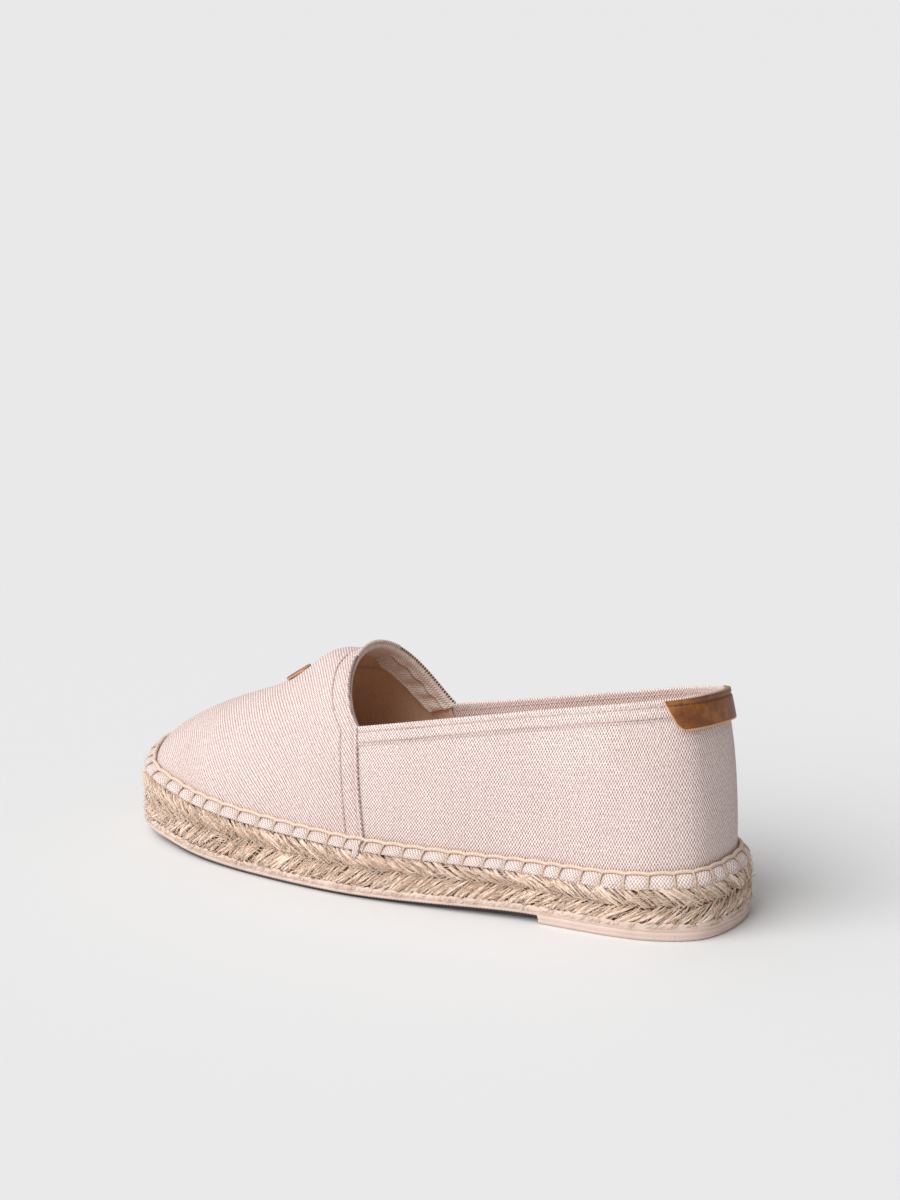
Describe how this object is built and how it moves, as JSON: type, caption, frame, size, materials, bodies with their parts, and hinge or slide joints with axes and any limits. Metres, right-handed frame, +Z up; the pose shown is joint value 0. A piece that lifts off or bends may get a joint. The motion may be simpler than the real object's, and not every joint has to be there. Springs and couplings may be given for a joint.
{
  "type": "espadrille",
  "caption": "Flat slip-on canvas espadrille on a plaited jute sole with a thin rubber cup, a leather heel tab and a leather disc on the vamp.",
  "frame": {"origin": "on the floor, at the middle of the box round the shoe", "axes": "+X towards the toe, +Y towards the outer side of the left foot, +Z up"},
  "size_m": [0.2531, 0.089, 0.0889],
  "materials": {
    "outsole": "pale pinkish beige moulded rubber, matt",
    "jute_sole": "plaited natural jute, hairy",
    "insole": "thin padded textile",
    "upper": "pale pink plain-weave cotton canvas",
    "throat_band": "shirred elastic band",
    "seam_cord": "waxed cotton cord",
    "heel_tab": "tan leather, lightly polished",
    "vamp_disc": "tan leather, lightly polished"
  },
  "bodies": {
    "root": {"outsole": "outsole", "jute_sole": "jute_sole", "insole": "insole", "upper": "upper", "throat_band": "throat_band", "seam_cord": "seam_cord", "heel_tab": "heel_tab", "vamp_disc": "vamp_disc"}
  },
  "joints": []
}
